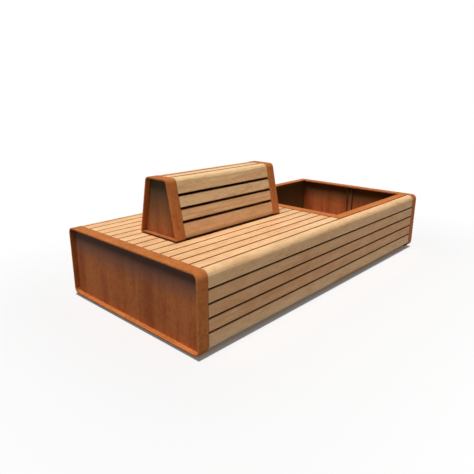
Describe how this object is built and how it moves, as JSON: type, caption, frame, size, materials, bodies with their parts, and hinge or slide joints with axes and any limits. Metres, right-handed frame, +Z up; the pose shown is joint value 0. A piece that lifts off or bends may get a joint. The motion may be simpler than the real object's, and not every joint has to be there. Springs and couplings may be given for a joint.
{
  "type": "bench with planter",
  "caption": "Low slatted timber bench on a weathering-steel frame, with a backrest block on the seat and an open planter box at one end.",
  "frame": {"origin": "on the ground, below the middle of the bench", "axes": "+X along the bench towards the planter, +Y towards the back long side, +Z up"},
  "size_m": [2.52, 1.2, 0.814],
  "materials": {
    "weathering_steel": "matt rust-brown weathering steel",
    "inner_steel": "matt dark rust-brown weathering steel",
    "timber": "oiled pale hardwood",
    "galvanised_steel": "dull galvanised steel",
    "foot_rubber": "matt black rubber"
  },
  "bodies": {
    "root": {"end_band_seat": "weathering_steel", "end_panel_seat": "inner_steel", "end_band_planter": "weathering_steel", "end_panel_planter": "inner_steel", "seat_slat_01": "timber", "seat_slat_02": "timber", "seat_slat_03": "timber", "seat_slat_04": "timber", "seat_slat_05": "timber", "seat_slat_06": "timber", "seat_slat_07": "timber", "seat_slat_08": "timber", "seat_slat_09": "timber", "seat_slat_10": "timber", "seat_slat_11": "timber", "seat_slat_12": "timber", "seat_slat_13": "timber", "seat_slat_14": "timber", "corner_board_back": "timber", "back_slat_1": "timber", "back_slat_2": "timber", "back_slat_3": "timber", "back_slat_4": "timber", "corner_board_front": "timber", "front_slat_1": "timber", "front_slat_2": "timber", "front_slat_3": "timber", "front_slat_4": "timber", "rest_band_seat": "weathering_steel", "rest_panel_seat": "inner_steel", "rest_band_planter": "weathering_steel", "rest_panel_planter": "inner_steel", "rest_corner_board_back": "timber", "rest_slat_back_1": "timber", "rest_slat_back_2": "timber", "rest_slat_back_3": "timber", "rest_corner_board_front": "timber", "rest_slat_front_1": "timber", "rest_slat_front_2": "timber", "rest_slat_front_3": "timber", "rest_top_slat": "timber", "rest_rib": "galvanised_steel", "rest_packer_seat": "foot_rubber", "rest_packer_planter": "foot_rubber", "planter_rim": "weathering_steel", "planter_wall_seat": "inner_steel", "planter_wall_back": "inner_steel", "planter_wall_front": "inner_steel", "planter_floor": "inner_steel", "wall_channel": "inner_steel", "cross_rib_1": "galvanised_steel", "cross_rib_2": "galvanised_steel", "base_rail_back": "galvanised_steel", "side_post_back": "galvanised_steel", "base_rail_front": "galvanised_steel", "side_post_front": "galvanised_steel", "foot_seat_back": "foot_rubber", "foot_seat_front": "foot_rubber", "foot_planter_back": "foot_rubber", "foot_planter_front": "foot_rubber"}
  },
  "joints": []
}
